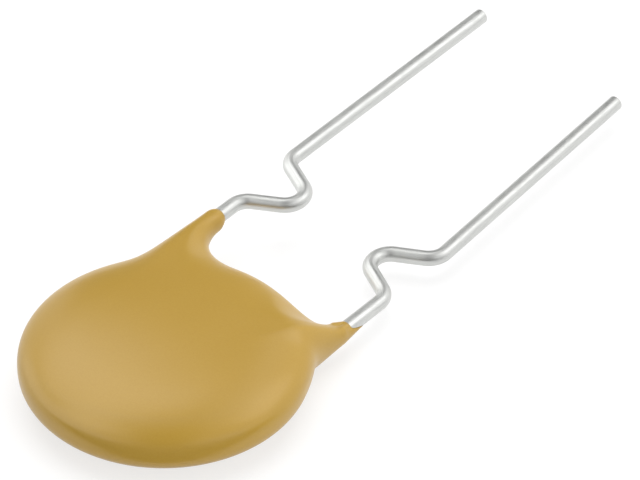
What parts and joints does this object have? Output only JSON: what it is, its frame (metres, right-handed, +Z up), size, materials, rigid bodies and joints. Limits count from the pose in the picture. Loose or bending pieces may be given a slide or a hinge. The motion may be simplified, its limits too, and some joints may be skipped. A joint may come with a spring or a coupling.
{
  "type": "resettable fuse",
  "caption": "Round epoxy-coated resettable fuse with flared coat legs on kinked wire leads, soldered through a circuit board to limit overcurrent.",
  "frame": {"origin": "centre of the coated disc, on the flat underside that it lies on", "axes": "+Y along the leads away from the disc, +Z up from the underside, +X toward the lead that is soldered to the chip's lower face"},
  "size_m": [0.0094, 0.0247, 0.0025],
  "materials": {
    "epoxy": "smooth dipped coat with a satin sheen",
    "polymer": "carbon-filled polymer sheet, dull",
    "foil": "nickel-faced copper foil, dull",
    "solder": "reflowed solder, satin",
    "tinned_wire": "tin-plated copper wire, satin"
  },
  "bodies": {
    "root": {"epoxy_coat": "epoxy", "ptc_chip": "polymer", "top_foil": "foil", "bottom_foil": "foil", "top_solder": "solder", "bottom_solder": "solder", "left_lead": "tinned_wire", "right_lead": "tinned_wire"}
  },
  "joints": []
}
